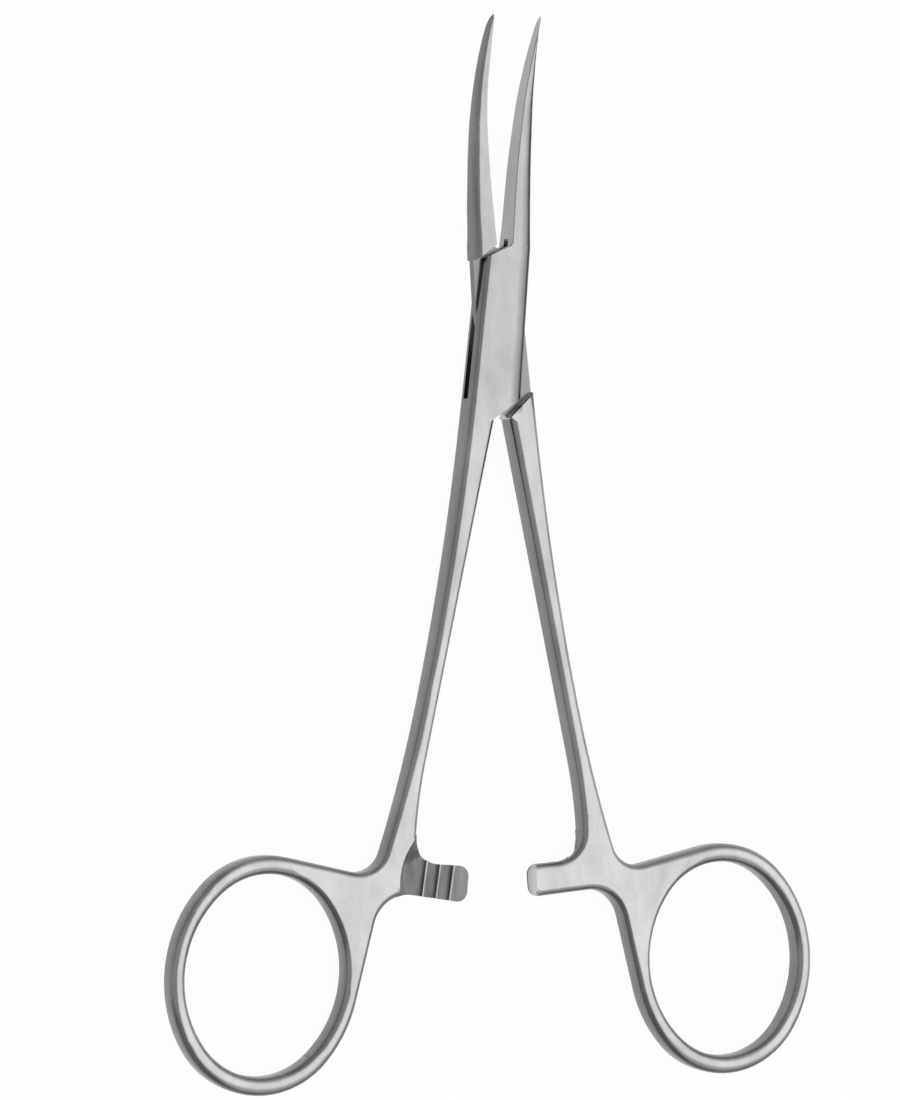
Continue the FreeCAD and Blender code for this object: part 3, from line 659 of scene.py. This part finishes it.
def region_of(face, mirrored):
    """Which region a face lies in, for its finish or for painted light and shade: one of the
    marked regions, or plain polished.
    """
    across, along, height = place_in_half(face.calc_center_median(), mirrored)
    if mirrored:
        height = -height
    normal = face.normal
    level = abs(normal.z) > LEVEL
    from_tip = math.hypot(across, along + ARM_MIDDLE)
    ratchet = height + TENON_RATCHET_DROP if mirrored else height
    if from_tip < RECESS_RADIUS and RATCHET_REACH[0] < ratchet < RATCHET_REACH[1]:
        if level:
            return "milled"
        if from_tip < WALL_REACH and not mirrored:
            return "wall"
    if mirrored and from_tip < ARM_TIP_REACH:
        if abs(normal.z) < NEARLY_FLAT and normal.x < -ARM_TIP_LEAN:
            return "arm_tip"
    near, far = SHOULDER_REGION
    if level and abs(along) < far and abs(height) < TENON_SURFACE:
        return "lock"
    if not level and near < abs(along) < far and abs(normal.y) > LEVEL:
        return "shoulder"
    if along > JAW_FACE_START and across < JAW_FACE_DEPTH and abs(normal.z) < STEEP:
        return "jaw_face"
    return "polished"


def raise_recess(shape, mirrored):
    """Lets the floor of the ratchet's recess rise to the shank, up to its circle."""
    side = -1 if mirrored else 1
    floor = set()
    for face in shape.faces:
        if abs(face.normal.z) > FLAT and region_of(face, mirrored) == "milled":
            floor.update(face.verts)
    shank = []
    rising = []
    at_wall = []
    for vert in shape.verts:
        across, along, height = place_in_half(vert.co, mirrored)
        from_tip = math.hypot(across, along + ARM_MIDDLE)
        if abs(from_tip - RECESS_RADIUS) < NEAR_WALL:
            shank.append(side * height)
        if abs(from_tip - RECESS_RADIUS) < ON_WALL:
            at_wall.append((vert, side * height))
        elif vert in floor and RISE_START < from_tip < RECESS_RADIUS:
            rising.append((vert, from_tip, side * height))
    top = max(shank) - RISE_RIM
    for vert, from_tip, height in rising:
        share = (from_tip - RISE_START) / (RECESS_RADIUS - RISE_START)
        vert.co.z += side * share**RISE_POWER * (top - height) * MM
    low = min(height for _, _, height in rising)
    for vert, height in at_wall:
        if low - FLOOR_SLACK < height < top:
            vert.co.z += side * (top - height) * MM
    bmesh.ops.remove_doubles(shape, verts=shape.verts, dist=WELD * MM)


def level_arm_tip(shape):
    """Lifts the rim of the right arm's tip to the height of its top."""
    rim = []
    for vert in shape.verts:
        across, along, _ = place_in_half(vert.co, True)
        if across > TIP_START and abs(along + ARM_MIDDLE) < TIP_HALF_WIDTH:
            rim.append((vert, min(1.0, (across - TIP_START) / TIP_BLEND)))
    top = max(vert.co.z for vert, _ in rim)
    for vert, share in rim:
        if top - vert.co.z < TIP_DEPTH * MM:
            vert.co.z += share * (top - vert.co.z)


def finish_jaw(shape, mirrored):
    """Shallower grooves, a slightly slimmer jaw and a fine tip, all inside the plain solid."""
    turn = Matrix.Rotation(-HALF_OPENING, 2)
    table = TENON_JAW_FINISH if mirrored else BOX_JAW_FINISH
    jaw = []
    for vert in shape.verts:
        across, along, height = place_in_half(vert.co, mirrored)
        if along > table[0][0] and across > ON_JAW:
            jaw.append((vert, across, along, height))
    for vert, across, along, height in jaw:
        near = [other[1] for other in jaw if abs(other[2] - along) < WIDTH_WINDOW]
        width = max(near) - JAW_CLEARANCE
        inner = between(table, along, 1)
        outer = between(table, along, 2)
        depth = across - JAW_CLEARANCE
        if depth < JAW_FACE_DEPTH / 2:
            depth *= GROOVE_SHARE
        depth = inner + depth * (width - inner - outer) / width
        past = max(0.0, along - CURVE_START)
        angle = math.atan2(past, CURVE_RADIUS - height)
        left = max(0.0, (POINT_ANGLE - angle) * CURVE_RADIUS)
        if past and left < POINT_LENGTH:
            rounding = math.sqrt(1 - (1 - left / POINT_LENGTH) ** 2)
            share = POINT_SHARE + (1 - POINT_SHARE) * rounding
            top = CURVE_RADIUS * (1 - math.cos(angle)) + POINT_TOP
            depth = inner + (depth - inner) * share
            height = top + (height - top) * share
        x, y = turn @ Vector((JAW_CLEARANCE + depth, along))
        if mirrored:
            x = -x
        vert.co = Vector((x, y, height + BOX_MIDDLE)) * MM


def weigh_normals(piece):
    """Lets rounded edges shade smoothly and keeps corners crisp: the larger faces lead."""
    weighted = piece.modifiers.new("normals", "WEIGHTED_NORMAL")
    weighted.keep_sharp = True
    bpy.context.view_layer.update()
    depsgraph = bpy.context.evaluated_depsgraph_get()
    done = bpy.data.meshes.new_from_object(piece.evaluated_get(depsgraph))
    piece.modifiers.clear()
    piece.data = done


def finished_copy(node, name, material, mirrored):
    """A welded copy of a solid, marked with its regions for finishes and for painted light and
    shade, and finished by hand.
    """
    shape = bmesh.new()
    shape.from_mesh(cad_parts[node].data)
    bmesh.ops.remove_doubles(shape, verts=shape.verts, dist=WELD * MM)
    layers = {region: shape.faces.layers.float.new(region) for region in FINISH_AND_SHADE_REGIONS}
    for face in shape.faces:
        face.smooth = True
        region = region_of(face, mirrored)
        if region in layers:
            face[layers[region]] = 1.0
    raise_recess(shape, mirrored)
    if mirrored:
        level_arm_tip(shape)
    finish_jaw(shape, mirrored)
    shape.normal_update()
    for edge in shape.edges:
        edge.smooth = edge.is_manifold and edge.calc_face_angle() < SHARP_ANGLE
    mesh = bpy.data.meshes.new(name)
    shape.to_mesh(mesh)
    shape.free()
    piece = link(bpy.data.objects.new(name, mesh))
    weigh_normals(piece)
    piece.data.name = name
    piece.data.materials.clear()
    piece.data.materials.append(material)
    return piece


def main():
    make_camera()
    make_world()
    make_floor()
    make_tent()
    make_lamp()
    steel = steel_material()
    for node, mirrored in (("box_half", False), ("tenon_half", True)):
        piece = finished_copy(node, f"{node}_steel", steel, mirrored)
        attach(piece, node)
        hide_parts(node)
    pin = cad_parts["pivot_pin"]
    pin.data.materials.clear()
    pin.data.materials.append(steel)
    bpy.context.scene.view_settings.view_transform = "Standard"


main()
